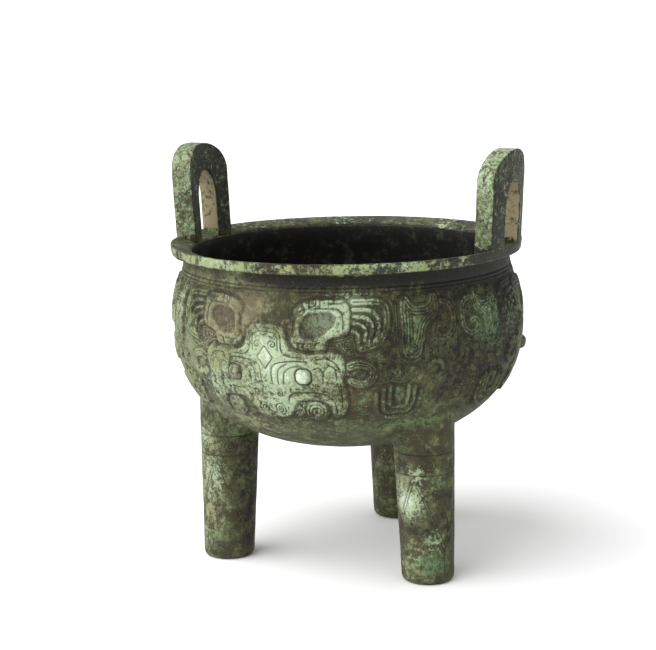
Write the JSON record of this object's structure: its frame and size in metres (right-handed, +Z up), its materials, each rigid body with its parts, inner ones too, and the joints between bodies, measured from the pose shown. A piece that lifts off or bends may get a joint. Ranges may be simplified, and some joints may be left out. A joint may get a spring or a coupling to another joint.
{
  "type": "bronze ding vessel",
  "caption": "Round-bellied cauldron on column legs with two upright loop handles and beast masks in relief round the belly.",
  "frame": {"origin": "on the floor, on the upright axis of the round bowl", "axes": "+Z up along the bowl's axis, -Y the front with one mask between two legs, +X and -X through the handles"},
  "size_m": [0.2124, 0.2095, 0.2457],
  "materials": {
    "patinated_bronze": "excavated cast tin bronze with a matt green, mint and brown patina"
  },
  "bodies": {
    "root": {"ding_vessel": "patinated_bronze"}
  },
  "joints": []
}
